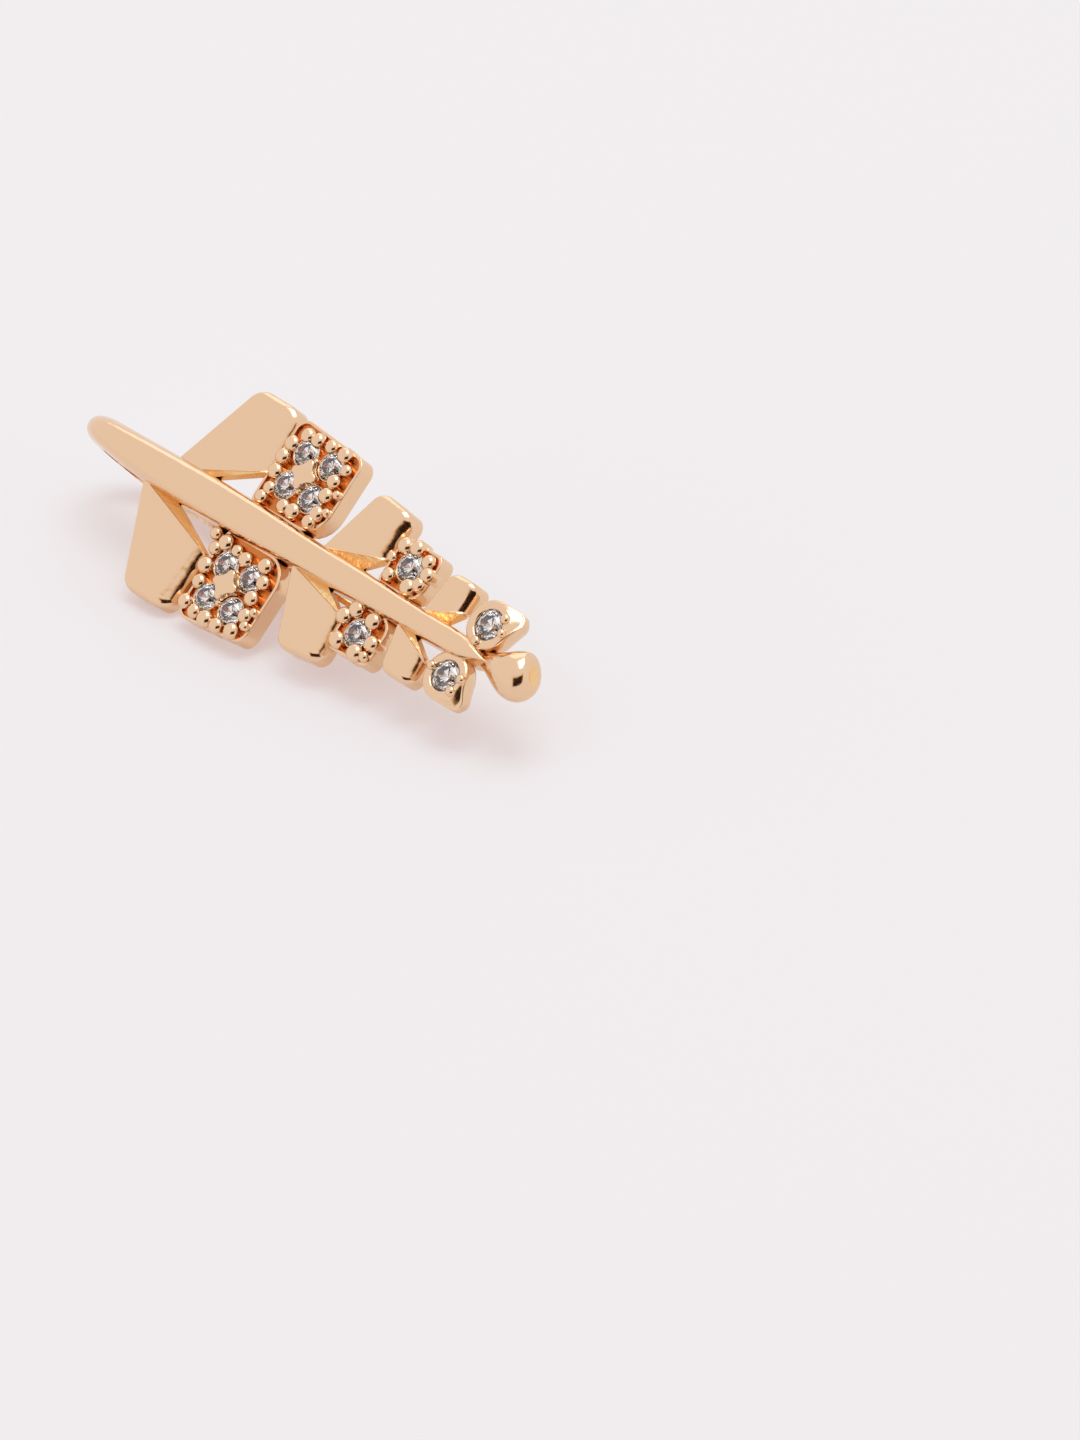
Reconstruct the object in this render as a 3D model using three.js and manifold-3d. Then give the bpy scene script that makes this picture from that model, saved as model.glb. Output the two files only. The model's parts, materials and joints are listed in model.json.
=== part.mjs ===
// Slip-on leaf earring: one cast metal leaf that hooks behind the ear, set with
// twelve small round stones. Millimetres, +Z up.
//
// The leaf is modelled in its own frame: x runs from the bend of the hook to the
// tip, y across the leaf and z out of its front face.
// The whole leaf is then rolled into the attitude in which it lies on a table.
import * as THREE from 'three';
import { mergeVertices } from 'three/addons/utils/BufferGeometryUtils.js';
import Module from 'manifold-3d';

const wasm = await Module();
wasm.setup();

// ---------------------------------------------------------------- driving sizes
const REST_ROLL = 44.0;          // degrees about the spine, the -y side of the leaf down
const REST_TILT = 1.2;           // degrees, the tip lower than the bend
const BACK = -0.18;              // level of the flat back of the leaf
const LEAFLET_FACE = 1.00;       // level of the front face of a leaflet
const ROOT_FACE = 0.66;          // the lower step where a blade joins the spine
const EDGE_BEVEL = 0.16;         // eased edge round every leaflet
const ROOT_INSET = 0.45;         // how far from the middle a leaflet's root starts
const BAND_RINGS = 52;           // cross-sections along the spine and hook
const DOME_STEPS = 12;           // facets round the outer half of a cross-section
const CHANNEL_STEPS = 6;         // facets across its inner half
const RIM = 0.22;                // thickness of the walls beside the channel,
const RIM_SHARE = 0.275;         // and the most of the half width that one takes up

// Cross-sections of the spine and hook, from the tip to the free end of the hook.
// crown: middle of the outer surface; rim: level of the two inner edges;
// square: 2 is a half ellipse, larger is flatter on top; channel: depth of the
// hollow inside, as a share of the section's height.
const BAND = [
  { crownX: 28.50, crownZ: 0.80, rimX: 28.50, rimZ: BACK, halfWidth: 0.24, square: 2.6, channel: 0 },
  { crownX: 27.60, crownZ: 1.05, rimX: 27.60, rimZ: BACK, halfWidth: 0.24, square: 3.0, channel: 0 },
  { crownX: 26.90, crownZ: 1.24, rimX: 26.90, rimZ: BACK, halfWidth: 0.42, square: 4.5, channel: 0 },
  { crownX: 25.90, crownZ: 1.28, rimX: 25.90, rimZ: BACK, halfWidth: 0.57, square: 5.0, channel: 0 },
  { crownX: 23.60, crownZ: 1.31, rimX: 23.60, rimZ: BACK, halfWidth: 0.58, square: 5.0, channel: 0 },
  { crownX: 20.00, crownZ: 1.36, rimX: 20.00, rimZ: BACK, halfWidth: 0.70, square: 5.0, channel: 0 },
  { crownX: 16.00, crownZ: 1.42, rimX: 16.00, rimZ: BACK, halfWidth: 0.76, square: 5.0, channel: 0 },
  { crownX: 12.50, crownZ: 1.50, rimX: 12.50, rimZ: BACK, halfWidth: 0.89, square: 5.0, channel: 0 },
  { crownX: 9.50, crownZ: 1.56, rimX: 9.50, rimZ: BACK, halfWidth: 0.91, square: 5.0, channel: 0 },
  { crownX: 6.80, crownZ: 1.68, rimX: 6.70, rimZ: BACK, halfWidth: 0.90, square: 4.5, channel: 0 },
  { crownX: 4.80, crownZ: 1.73, rimX: 4.70, rimZ: -0.10, halfWidth: 0.88, square: 4.0, channel: 0.10 },
  { crownX: 3.15, crownZ: 1.64, rimX: 3.30, rimZ: 0.00, halfWidth: 0.86, square: 3.4, channel: 0.25 },
  { crownX: 1.80, crownZ: 1.42, rimX: 2.30, rimZ: 0.05, halfWidth: 0.84, square: 2.8, channel: 0.35 },
  { crownX: 0.72, crownZ: 0.86, rimX: 1.55, rimZ: -0.15, halfWidth: 0.82, square: 2.4, channel: 0.42 },
  { crownX: 0.02, crownZ: 0.02, rimX: 1.00, rimZ: -0.58, halfWidth: 0.81, square: 2.2, channel: 0.45 },
  { crownX: -0.31, crownZ: -1.00, rimX: 0.68, rimZ: -1.18, halfWidth: 0.80, square: 2.2, channel: 0.45 },
  { crownX: -0.31, crownZ: -2.04, rimX: 0.66, rimZ: -1.92, halfWidth: 0.80, square: 2.2, channel: 0.45 },
  { crownX: 0.04, crownZ: -3.04, rimX: 0.98, rimZ: -2.60, halfWidth: 0.81, square: 2.2, channel: 0.45 },
  { crownX: 0.80, crownZ: -3.88, rimX: 1.62, rimZ: -3.12, halfWidth: 0.83, square: 2.2, channel: 0.45 },
  { crownX: 2.00, crownZ: -4.45, rimX: 2.45, rimZ: -3.42, halfWidth: 0.86, square: 2.2, channel: 0.48 },
  { crownX: 3.95, crownZ: -4.68, rimX: 3.95, rimZ: -3.48, halfWidth: 0.90, square: 2.2, channel: 0.50 },
  { crownX: 6.60, crownZ: -4.50, rimX: 6.40, rimZ: -3.16, halfWidth: 0.93, square: 2.2, channel: 0.50 },
  { crownX: 8.90, crownZ: -4.07, rimX: 8.65, rimZ: -2.72, halfWidth: 0.93, square: 2.2, channel: 0.50 },
  { crownX: 11.20, crownZ: -3.56, rimX: 11.00, rimZ: -2.26, halfWidth: 0.93, square: 2.2, channel: 0.48 },
  { crownX: 13.30, crownZ: -3.32, rimX: 13.30, rimZ: -2.10, halfWidth: 0.90, square: 2.2, channel: 0.42 },
  { crownX: 14.90, crownZ: -3.42, rimX: 15.05, rimZ: -2.30, halfWidth: 0.88, square: 2.2, channel: 0.28 },
  { crownX: 16.00, crownZ: -3.94, rimX: 16.40, rimZ: -2.82, halfWidth: 0.86, square: 2.2, channel: 0.10 },
  { crownX: 17.05, crownZ: -4.66, rimX: 17.45, rimZ: -3.52, halfWidth: 0.84, square: 2.2, channel: 0 },
  { crownX: 17.80, crownZ: -4.68, rimX: 18.00, rimZ: -3.94, halfWidth: 0.68, square: 2.2, channel: 0 },
  { crownX: 18.25, crownZ: -4.48, rimX: 18.30, rimZ: -4.15, halfWidth: 0.36, square: 2.2, channel: 0 },
];

// Plain blades. A blade's face leaves the spine between hookRoot and faceRoot, and
// the lower step beside it reaches on to stepRoot. It spans hookX to tipX at its
// outer edge, reaches out to hookReach and tipReach there, and has a shoulder where
// the tip-side edge turns back to the spine. shift: how far the +y blade sits
// towards the tip and the -y blade towards the hook; rootShift: the same at the roots.
const BLADES = [
  { hookRoot: 5.90, faceRoot: 7.75, stepRoot: 8.32, hookX: 8.24, hookReach: 5.36, tipX: 10.88,
    tipReach: 5.30, shoulderX: 11.15, shoulderY: 2.20, outerRadius: 0.70, shift: 0.30, rootShift: 0.58 },
  { hookRoot: 16.05, faceRoot: 16.60, stepRoot: 18.40, hookX: 17.62, hookReach: 4.08, tipX: 19.90,
    tipReach: 3.80, shoulderX: 19.78, shoulderY: 1.50, outerRadius: 0.48, shift: 0.18, rootShift: 0.50 },
  { hookRoot: 22.95, faceRoot: 23.35, stepRoot: 24.10, hookX: 23.40, hookReach: 2.64, tipX: 25.05,
    tipReach: 2.62, shoulderX: 25.00, shoulderY: 1.20, outerRadius: 0.36, shift: 0.27, rootShift: 0.40 },
];
const SHOULDER_RADIUS = 0.22;

// Stone-set blocks: the four-sided patch each one covers and the radii of its
// corners, innerTip being the one between the spine and the tip.
const BLOCKS = [
  { hookX: 11.15, tipX: 15.72, inner: 0.75, hookReach: 5.20, tipReach: 4.82,
    radius: 0.62, innerHook: 0.37, innerTip: 1.35, shift: 0.20 },
  { hookX: 19.85, tipX: 22.50, inner: 0.55, hookReach: 2.96, tipReach: 2.90,
    radius: 0.46, innerHook: 0.28, innerTip: 0.80, shift: 0.24 },
];
const BLOCK_FACE = 0.92;         // level of the metal between the stones
const BLOCK_BEVEL = 0.12;

// Four stones in a square round a flat boss, with bead prongs all round.
const PAVE = { x: 13.40, y: 3.00, spacing: 1.66, beadReach: 1.70, beadsPerSide: 4 };
const BOSS = { radius: 0.47, top: 1.28, sides: 14 };
// One stone in a ring of bead prongs.
const SOLITAIRE = { x: 21.12, y: 1.80 };
const SOLITAIRE_BEADS = { reach: 1.02, beads: 7, firstAngle: 26 };
const BEAD = { radius: 0.28, stretch: 1.1, level: 0.88, sides: 8, rings: 5 };

// Almond leaflet at each side of the tip: a round cup on a lower skirt that is
// drawn out to a smaller end.
const ALMOND = {
  x: 26.62, y: 1.40, radius: 1.16, endX: 27.56, endY: 2.08, endRadius: 0.46,
  cupFace: 1.02, skirtFace: 0.74, bevel: 0.18, shift: 0.26,
};
const ALMOND_BEADS = { reach: 0.84, beads: 3, firstAngle: 30 };
const ALMOND_STONE = { dx: 0.06, dy: 0.00 };

// Drop at the very tip, a pebble on a short neck: its radius at each place along
// the leaf. middle: level of its axis.
const TIP_DROP = {
  middle: 0.38,
  sides: 18,
  profile: [
    [26.95, 0], [27.00, 0.26], [27.50, 0.28], [27.90, 0.42], [28.22, 0.66], [28.56, 0.87],
    [28.95, 1.00], [29.35, 1.03], [29.72, 0.95], [30.00, 0.75], [30.17, 0.45], [30.23, 0],
  ],
};

// Round stones. sides: facets round the girdle.
const STONE = { table: 0.56, crown: 0.17, girdle: 0.08, pavilion: 0.44, sides: 10 };
const PAVE_STONE = { diameter: 1.24, tableLevel: 1.07 };
const BLOCK_STONE = { diameter: 1.24, tableLevel: 1.07 };
const LEAF_STONE = { diameter: 1.34, tableLevel: 1.10 };
const SEAT_CLEARANCE = 0.06;     // between a stone and the pocket it sits in

// ---------------------------------------------------------------- materials
const METAL = { color: 0xe6c3a0, roughness: 0.18, metalness: 1.0 };
const CRYSTAL = { color: 0xe9e8f0, roughness: 0.05, metalness: 0.0 };

// ---------------------------------------------------------------- solid helpers
// Turns a closed three.js geometry into a solid that can be joined or cut.
function toSolid(geometry) {
  const bare = geometry.clone();
  bare.deleteAttribute('normal');
  bare.deleteAttribute('uv');
  const welded = mergeVertices(bare, 1e-5);
  return new wasm.Manifold(new wasm.Mesh({
    numProp: 3,
    vertProperties: new Float32Array(welded.attributes.position.array),
    triVerts: new Uint32Array(welded.index.array),
  }));
}

// Turns a solid back into an indexed three.js geometry.
function toGeometry(solid) {
  const mesh = solid.getMesh();
  const geometry = new THREE.BufferGeometry();
  geometry.setAttribute('position', new THREE.BufferAttribute(mesh.vertProperties, 3));
  geometry.setIndex(new THREE.BufferAttribute(mesh.triVerts, 1));
  geometry.computeVertexNormals();
  return geometry;
}

// Closes a stack of rings, all with the same number of points, into a solid.
function loft(rings) {
  const size = rings[0].length;
  const positions = rings.flat().flatMap((point) => point.toArray());
  const triangles = [];
  for (let r = 0; r + 1 < rings.length; r += 1) {
    for (let k = 0; k < size; k += 1) {
      const a = r * size + k;
      const b = r * size + ((k + 1) % size);
      triangles.push(a, b + size, b, a, a + size, b + size);
    }
  }
  for (const [ring, flip] of [[0, false], [rings.length - 1, true]]) {
    const middle = rings[ring].reduce((sum, p) => sum.add(p), new THREE.Vector3()).divideScalar(size);
    const hub = positions.length / 3;
    positions.push(...middle.toArray());
    for (let k = 0; k < size; k += 1) {
      const a = ring * size + k;
      const b = ring * size + ((k + 1) % size);
      triangles.push(...(flip ? [hub, b, a] : [hub, a, b]));
    }
  }
  const geometry = new THREE.BufferGeometry();
  geometry.setAttribute('position', new THREE.Float32BufferAttribute(positions, 3));
  geometry.setIndex(triangles);
  return toSolid(geometry);
}

// Closed outline with a rounded corner at each [x, y, radius].
function roundedOutline(corners) {
  const shape = new THREE.Shape();
  corners.forEach(([x, y, radius], i) => {
    const corner = new THREE.Vector2(x, y);
    const [px, py] = corners[(i + corners.length - 1) % corners.length];
    const [nx, ny] = corners[(i + 1) % corners.length];
    const before = new THREE.Vector2(px, py).sub(corner).normalize();
    const after = new THREE.Vector2(nx, ny).sub(corner).normalize();
    const halfAngle = Math.acos(THREE.MathUtils.clamp(before.dot(after), -1, 1)) / 2;
    const setback = radius / Math.tan(halfAngle);
    const start = corner.clone().addScaledVector(before, setback);
    const end = corner.clone().addScaledVector(after, setback);
    if (i === 0) shape.moveTo(start.x, start.y);
    else shape.lineTo(start.x, start.y);
    if (radius > 0) shape.quadraticCurveTo(x, y, end.x, end.y);
  });
  shape.closePath();
  return shape;
}

// Flat plate over an outline, from the back of the leaf up to `face`, edges eased.
function plate(shape, face, bevel = EDGE_BEVEL) {
  const geometry = new THREE.ExtrudeGeometry(shape, {
    depth: face - BACK - 2 * bevel,
    bevelThickness: bevel,
    bevelSize: bevel,
    bevelOffset: -bevel,
    bevelSegments: 2,
    curveSegments: 4,
    steps: 1,
  });
  return toSolid(geometry.translate(0, 0, BACK + bevel));
}

// ---------------------------------------------------------------- spine and hook
// One cross-section: the dome from one rim over the crown to the other, then back
// through the channel.
function bandSection(row) {
  const rim = new THREE.Vector3(row.rimX, 0, row.rimZ);
  const rise = new THREE.Vector3(row.crownX, 0, row.crownZ).sub(rim);
  const at = (across, up) => rim.clone().addScaledVector(rise, up).setY(across);
  const power = 2 / row.square;
  const ring = [];
  for (let i = 0; i <= DOME_STEPS; i += 1) {
    const angle = (Math.PI * i) / DOME_STEPS;
    const across = Math.sign(Math.cos(angle)) * Math.abs(Math.cos(angle)) ** power;
    ring.push(at(row.halfWidth * across, Math.abs(Math.sin(angle)) ** power));
  }
  const channelWidth = row.halfWidth - Math.min(RIM, RIM_SHARE * row.halfWidth);
  for (let i = 0; i <= CHANNEL_STEPS; i += 1) {
    const angle = Math.PI * (1 - i / CHANNEL_STEPS);
    ring.push(at(channelWidth * Math.cos(angle), row.channel * Math.sin(angle)));
  }
  return ring;
}

// Values of the BAND table at any place along it, on a smooth curve.
function bandRow(t) {
  const last = BAND.length - 1;
  const i = Math.min(Math.floor(t * last), last - 1);
  const u = t * last - i;
  const rows = [i - 1, i, i + 1, i + 2].map((k) => BAND[THREE.MathUtils.clamp(k, 0, last)]);
  const row = {};
  for (const column of Object.keys(BAND[0])) {
    const [a, b, c, d] = rows.map((r) => r[column]);
    const smooth = b + 0.5 * u * (c - a + u * (2 * a - 5 * b + 4 * c - d + u * (3 * (b - c) + d - a)));
    row[column] = column === 'channel' ? Math.max(0, smooth) : smooth;
  }
  return row;
}

function spineAndHook() {
  const rings = [];
  for (let i = 0; i < BAND_RINGS; i += 1) {
    rings.push(bandSection(bandRow(i / (BAND_RINGS - 1))));
  }
  return loft(rings);
}

// ---------------------------------------------------------------- leaflets
// A blade is a full-height face on a lower root step that reaches the spine.
function blade(row, side) {
  const dx = side * row.shift;
  const across = (y) => side * y;
  const hookRoot = [row.hookRoot + side * row.rootShift, across(ROOT_INSET), 0];
  const outer = [
    [row.hookX + dx, across(row.hookReach), row.outerRadius],
    [row.tipX + dx, across(row.tipReach), row.outerRadius],
  ];
  const shoulder = [row.shoulderX + dx, across(row.shoulderY), SHOULDER_RADIUS];
  const faceRoot = [row.faceRoot + side * row.rootShift, across(ROOT_INSET), 0];
  const stepRoot = [row.stepRoot + side * row.rootShift, across(ROOT_INSET), 0];
  const face = plate(roundedOutline([hookRoot, ...outer, shoulder, faceRoot]), LEAFLET_FACE);
  const root = plate(roundedOutline([hookRoot, ...outer, shoulder, stepRoot]), ROOT_FACE);
  return face.add(root);
}

function block(row, side) {
  const dx = side * row.shift;
  const outline = roundedOutline([
    [row.hookX + dx, side * row.inner, row.innerHook],
    [row.hookX + dx, side * row.hookReach, row.radius],
    [row.tipX + dx, side * row.tipReach, row.radius],
    [row.tipX + dx, side * row.inner, row.innerTip],
  ]);
  return plate(outline, BLOCK_FACE, BLOCK_BEVEL);
}

// Round cup on a skirt drawn out on the side away from the spine.
function almond(side) {
  const dx = side * ALMOND.shift;
  const centre = new THREE.Vector2(ALMOND.x + dx, side * ALMOND.y);
  const end = new THREE.Vector2(ALMOND.endX + dx, side * ALMOND.endY);
  const heading = end.clone().sub(centre).angle();
  const lean = Math.acos((ALMOND.radius - ALMOND.endRadius) / end.distanceTo(centre));
  const skirt = new THREE.Shape();
  skirt.absarc(centre.x, centre.y, ALMOND.radius, heading + lean, heading - lean + 2 * Math.PI, false);
  skirt.absarc(end.x, end.y, ALMOND.endRadius, heading - lean, heading + lean, false);
  skirt.closePath();
  const cup = new THREE.Shape();
  cup.absarc(centre.x, centre.y, ALMOND.radius, 0, 2 * Math.PI, false);
  return plate(skirt, ALMOND.skirtFace, ALMOND.bevel).add(plate(cup, ALMOND.cupFace, ALMOND.bevel));
}

function tipDrop() {
  const outline = TIP_DROP.profile.map(([x, radius]) => new THREE.Vector2(radius, x));
  const drop = new THREE.LatheGeometry(outline, TIP_DROP.sides);
  drop.rotateZ(-Math.PI / 2);
  return toSolid(drop.translate(0, 0, TIP_DROP.middle));
}

// ---------------------------------------------------------------- settings
function bead(x, y) {
  const ball = new THREE.SphereGeometry(BEAD.radius, BEAD.sides, BEAD.rings);
  ball.rotateX(Math.PI / 2);
  ball.scale(1, 1, BEAD.stretch);
  return toSolid(ball.translate(x, y, BEAD.level));
}

// Where the bead prongs of one pave square stand: evenly round its four sides.
function paveBeads(side) {
  const dx = side * BLOCKS[0].shift;
  const step = (2 * PAVE.beadReach) / PAVE.beadsPerSide;
  const places = [];
  for (let corner = 0; corner < 4; corner += 1) {
    for (let k = 0; k < PAVE.beadsPerSide; k += 1) {
      const along = new THREE.Vector2(-PAVE.beadReach + k * step, PAVE.beadReach);
      along.rotateAround(new THREE.Vector2(), (corner * Math.PI) / 2);
      places.push([PAVE.x + dx + along.x, side * (PAVE.y + along.y)]);
    }
  }
  return places;
}

// Prongs in a ring round one stone.
function ringBeads(x, y, ring, side) {
  return Array.from({ length: ring.beads }, (_, k) => {
    const angle = THREE.MathUtils.degToRad(ring.firstAngle + (360 * k) / ring.beads);
    return [x + ring.reach * Math.cos(angle), side * (y + ring.reach * Math.sin(angle))];
  });
}

function settingBeads(side) {
  return [
    ...paveBeads(side),
    ...ringBeads(SOLITAIRE.x + side * BLOCKS[1].shift, SOLITAIRE.y, SOLITAIRE_BEADS, side),
    ...ringBeads(ALMOND.x + side * ALMOND.shift, ALMOND.y, ALMOND_BEADS, side),
  ];
}

function boss(side) {
  const foot = BLOCK_FACE / 2;
  const height = BOSS.top - foot;
  const cylinder = new THREE.CylinderGeometry(BOSS.radius, BOSS.radius, height, BOSS.sides);
  cylinder.rotateX(Math.PI / 2);
  cylinder.translate(PAVE.x + side * BLOCKS[0].shift, side * PAVE.y, foot + height / 2);
  return toSolid(cylinder);
}

// ---------------------------------------------------------------- stones
// Half outline of a round stone of unit diameter, culet up to table, on the axis
// at both ends. `margin` grows it on every side, at the culet along its slope.
function stoneProfile(diameter, margin) {
  const radius = diameter / 2 + margin;
  const girdle = STONE.girdle * diameter;
  const table = STONE.crown * diameter + girdle;
  const culetMargin = margin * Math.hypot(1, 2 * STONE.pavilion);
  return [
    [0, -STONE.pavilion * diameter - culetMargin],
    [radius, 0],
    [radius, girdle],
    [(STONE.table * diameter) / 2 + margin, table + margin],
    [0, table + margin],
  ].map(([r, z]) => new THREE.Vector2(r, z));
}

function stoneGeometry(kind, margin = 0) {
  const lathe = new THREE.LatheGeometry(stoneProfile(kind.diameter, margin), STONE.sides);
  lathe.rotateX(Math.PI / 2);
  return lathe;
}

// Height of a stone's girdle when its table is at the given level.
function girdleLevel(kind) {
  return kind.tableLevel - (STONE.crown + STONE.girdle) * kind.diameter;
}

// Every stone: its node name, kind and place. 'u' is the +y side, 'l' the -y side.
function stonePlaces() {
  const places = [];
  for (const [letter, side] of [['u', 1], ['l', -1]]) {
    const paveX = PAVE.x + side * BLOCKS[0].shift;
    const half = PAVE.spacing / 2;
    const square = [[-half, half], [half, half], [-half, -half], [half, -half]];
    square.forEach(([dx, dy], k) => {
      const name = `pave_stone_${letter}${k + 1}`;
      places.push({ name, kind: PAVE_STONE, x: paveX + dx, y: side * (PAVE.y + dy) });
    });
    const blockX = SOLITAIRE.x + side * BLOCKS[1].shift;
    places.push({ name: `block_stone_${letter}`, kind: BLOCK_STONE, x: blockX, y: side * SOLITAIRE.y });
    const almondX = ALMOND.x + ALMOND_STONE.dx + side * ALMOND.shift;
    const almondY = side * (ALMOND.y + ALMOND_STONE.dy);
    places.push({ name: `leaf_stone_${letter}`, kind: LEAF_STONE, x: almondX, y: almondY });
  }
  return places;
}

// The pocket a stone sits in: its own shape grown by the clearance, open upwards.
function seat(place) {
  const level = girdleLevel(place.kind);
  const radius = place.kind.diameter / 2 + SEAT_CLEARANCE;
  const shaft = new THREE.CylinderGeometry(radius, radius, LEAFLET_FACE, STONE.sides);
  shaft.rotateX(Math.PI / 2);
  shaft.translate(place.x, place.y, level + LEAFLET_FACE / 2);
  const cup = stoneGeometry(place.kind, SEAT_CLEARANCE).translate(place.x, place.y, level);
  return toSolid(cup).add(toSolid(shaft));
}

// ---------------------------------------------------------------- assembly
function casting(places) {
  let metal = spineAndHook();
  for (const side of [1, -1]) {
    const pieces = [
      ...BLADES.map((row) => blade(row, side)),
      ...BLOCKS.map((row) => block(row, side)),
      almond(side),
      boss(side),
      ...settingBeads(side).map(([x, y]) => bead(x, y)),
    ];
    metal = pieces.reduce((sum, piece) => sum.add(piece), metal);
  }
  metal = places.reduce((rest, place) => rest.subtract(seat(place)), metal.add(tipDrop()));
  return toGeometry(metal);
}

function makeMesh(name, geometry, material) {
  const mesh = new THREE.Mesh(geometry, new THREE.MeshStandardMaterial(material));
  mesh.name = name;
  return mesh;
}

const leaf = new THREE.Group();
const places = stonePlaces();
leaf.add(makeMesh('leaf_casting', casting(places), METAL));
for (const place of places) {
  const stone = makeMesh(place.name, stoneGeometry(place.kind), CRYSTAL);
  stone.position.set(place.x, place.y, girdleLevel(place.kind));
  leaf.add(stone);
}
leaf.rotation.order = 'YXZ';
leaf.rotation.x = THREE.MathUtils.degToRad(REST_ROLL);
leaf.rotation.y = THREE.MathUtils.degToRad(REST_TILT);

// The origin is under the middle of the whole piece, on the surface it lies on.
const extent = new THREE.Box3().setFromObject(leaf, true);
const centre = extent.getCenter(new THREE.Vector3());
leaf.position.set(-centre.x, -centre.y, -extent.min.z);

const earring = new THREE.Group();
earring.add(leaf);
export default earring;
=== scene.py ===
"""Looks of a slip-on leaf earring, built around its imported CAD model.

The leaf is modelled in its own frame, in millimetres: x runs along the spine from
the bend of the hook to the tip, y across the leaf and z out of its front face.
Every piece is then carried into the part's frame, in metres.
"""

import json
import logging
import math
from dataclasses import dataclass, field, fields
from enum import Enum
from typing import Callable, Iterable, Sequence

import bmesh
import bpy
from bmesh.types import BMEdge, BMesh, BMFace, BMVert
from bpy.types import ID, Material, Node, NodeSocket, NodeTree, Object
from mathutils import Matrix, Vector


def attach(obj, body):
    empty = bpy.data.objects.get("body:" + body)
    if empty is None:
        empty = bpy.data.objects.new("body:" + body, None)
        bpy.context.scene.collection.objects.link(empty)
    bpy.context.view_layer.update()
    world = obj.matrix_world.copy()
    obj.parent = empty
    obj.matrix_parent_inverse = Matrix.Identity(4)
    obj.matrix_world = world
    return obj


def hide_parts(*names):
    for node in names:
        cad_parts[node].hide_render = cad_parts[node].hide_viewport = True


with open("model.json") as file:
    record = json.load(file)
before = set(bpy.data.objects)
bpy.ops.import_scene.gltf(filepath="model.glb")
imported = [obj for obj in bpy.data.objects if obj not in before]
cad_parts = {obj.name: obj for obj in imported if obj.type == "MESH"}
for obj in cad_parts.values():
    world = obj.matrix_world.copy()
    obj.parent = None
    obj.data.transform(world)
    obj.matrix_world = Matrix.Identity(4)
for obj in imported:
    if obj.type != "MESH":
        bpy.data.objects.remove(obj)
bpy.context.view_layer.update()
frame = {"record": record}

LOG = logging.getLogger("leaf_earring")
MM = 0.001
MICRON = 1e-6
CASTING = "leaf_casting"
BACK = -0.18  # level of the flat back of the leaf
POCKET_FLOOR = 0.10  # level of the metal under the stones
EAR_GAP_MOUNT = (8.0, 0.0, -1.45)  # where that mount lies in the leaf's frame
LEAST_ROUNDING = 0.08  # share of a corner's radius that is always left
CORNER_FACETS = 8  # facets round a corner of an outline
UNDER_CHAMFER = 0.08  # chamfer of the lower edges of the leaflets
PRONG_DOME = 0.72  # rounding of a prong's head, as a share of its radius
SAME_SPOT = 1e-5  # corners nearer than this are one

Point = tuple[float, float]
Spot = tuple[float, float, float]
Pair = tuple[float, float]  # the value on the upper side and on the lower one


class Side(Enum):
    """The two sides of the leaf; the value is the sign of y."""

    UPPER = 1
    LOWER = -1

    @property
    def letter(self) -> str:
        """The letter that names this side in the CAD model."""
        return "u" if self is Side.UPPER else "l"

    def pick(self, pair: Pair) -> float:
        """Picks this side's value of an upper and a lower one."""
        return pair[0] if self is Side.UPPER else pair[1]


class Skin(Enum):
    """Which finish a face of the metal takes; the value is its material index."""

    POLISHED = 0
    # granular as cast; its brighter amber colour is partly painted bounced light
    CAST = 1
    # painted shade: the trays' metal darker and redder, as the hollows look in shade
    POCKET_SHADE = 2


# ---------------------------------------------------------------- frame and meshes
def leaf_matrix(record: dict) -> Matrix:
    """Works out where the leaf's own frame lies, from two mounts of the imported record.

    Args:
        record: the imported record, with its mounts in metres.

    Returns:
        The matrix from the leaf's frame, in millimetres, to the part's frame, in metres.
    """
    mounts = {mount["name"]: mount for mount in record["mounts"]}
    along = Vector(mounts["ear_gap"]["axis"]).normalized()
    front = -Vector(mounts["leaf_back"]["axis"]).normalized()
    across = front.cross(along).normalized()
    turn = Matrix((across.cross(front), across, front)).transposed().to_4x4()
    origin = Vector(mounts["ear_gap"]["pos_m"]) - turn @ (Vector(EAR_GAP_MOUNT) * MM)
    return Matrix.Translation(origin) @ turn @ Matrix.Scale(MM, 4)


LEAF = leaf_matrix(frame["record"])


def faces_of(verts: Iterable[BMVert]) -> list[BMFace]:
    """Lists each face that touches the given vertices once, in a steady order."""
    return list(dict.fromkeys(face for vert in verts for face in vert.link_faces))


def paint(faces: Iterable[BMFace], skin: Skin) -> None:
    """Gives faces one of the metal's finishes."""
    for face in faces:
        face.material_index = skin.value


def paint_within(verts: Iterable[BMVert], skin: Skin) -> None:
    """Gives a finish to the faces that have all their corners among the given ones."""
    inside = dict.fromkeys(verts)
    paint((face for face in faces_of(inside) if all(v in inside for v in face.verts)), skin)


def add_object(name: str, data: ID) -> Object:
    """Puts a mesh, a light or a camera into the scene.

    Args:
        name: name of the new object.
        data: what it shows.

    Returns:
        The object.
    """
    thing = bpy.data.objects.new(name, data)
    bpy.context.scene.collection.objects.link(thing)
    return thing


def add_mesh(bm: BMesh, name: str) -> Object:
    """Turns a mesh, which is freed, into an object.

    Args:
        bm: the mesh.
        name: name of the new object.

    Returns:
        The object.
    """
    mesh = bpy.data.meshes.new(name)
    bm.to_mesh(mesh)
    bm.free()
    return add_object(name, mesh)


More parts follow.
